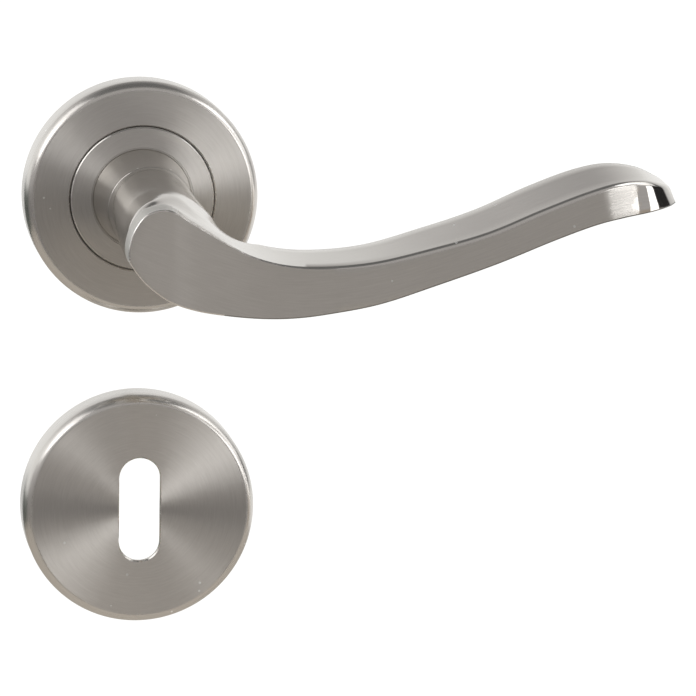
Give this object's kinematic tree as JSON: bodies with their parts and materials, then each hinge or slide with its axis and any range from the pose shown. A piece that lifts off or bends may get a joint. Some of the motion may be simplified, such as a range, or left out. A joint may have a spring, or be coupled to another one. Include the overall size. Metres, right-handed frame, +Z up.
{
  "type": "door lever handle",
  "caption": "S-shaped door lever on a round sprung rose, with a matching round keyhole escutcheon below it, in brushed nickel.",
  "frame": {"origin": "on the spindle's axis, in the plane of the door's face, midway between the rose's two fixing bolts", "axes": "+X along the lever towards its tip, +Y into the door, +Z up"},
  "size_m": [0.1408, 0.129, 0.125],
  "materials": {
    "brushed_nickel": "satin brushed nickel plating, circular on the roses and lengthwise on the lever, polished at the lever's tip",
    "zinc_plated_steel": "bright zinc plated",
    "spring_steel": "dark oiled",
    "zinc_casting": "as cast zinc alloy",
    "nylon": "natural moulded"
  },
  "bodies": {
    "rose": {"rose_cover": "brushed_nickel", "rose_base": "zinc_casting", "bearing_bush": "nylon", "return_spring": "spring_steel", "stop_pins": "zinc_plated_steel", "rose_snap_ring": "spring_steel", "rose_bolts": "zinc_plated_steel", "rose_sleeves": "zinc_plated_steel", "escutcheon_cover": "brushed_nickel", "escutcheon_base": "nylon", "escutcheon_snap_ring": "spring_steel", "escutcheon_bolts": "zinc_plated_steel", "escutcheon_sleeves": "zinc_plated_steel"},
    "lever": {"lever_handle": "brushed_nickel", "neck_ferrule": "brushed_nickel", "collar_disc": "brushed_nickel", "drive_cam": "zinc_plated_steel", "circlip": "spring_steel", "thrust_washer": "zinc_plated_steel", "spindle": "zinc_plated_steel", "grub_screw": "spring_steel"}
  },
  "joints": [
    {"name": "lever_turn", "type": "hinge", "parent": "rose", "child": "lever", "pos_m": [0, 0, 0], "axis": [0, 1, 0], "range_deg": [0, 45], "stiffness_Nm_per_rad": 0.8, "springref_deg": -34.38, "deforming": ["return_spring"]}
  ]
}
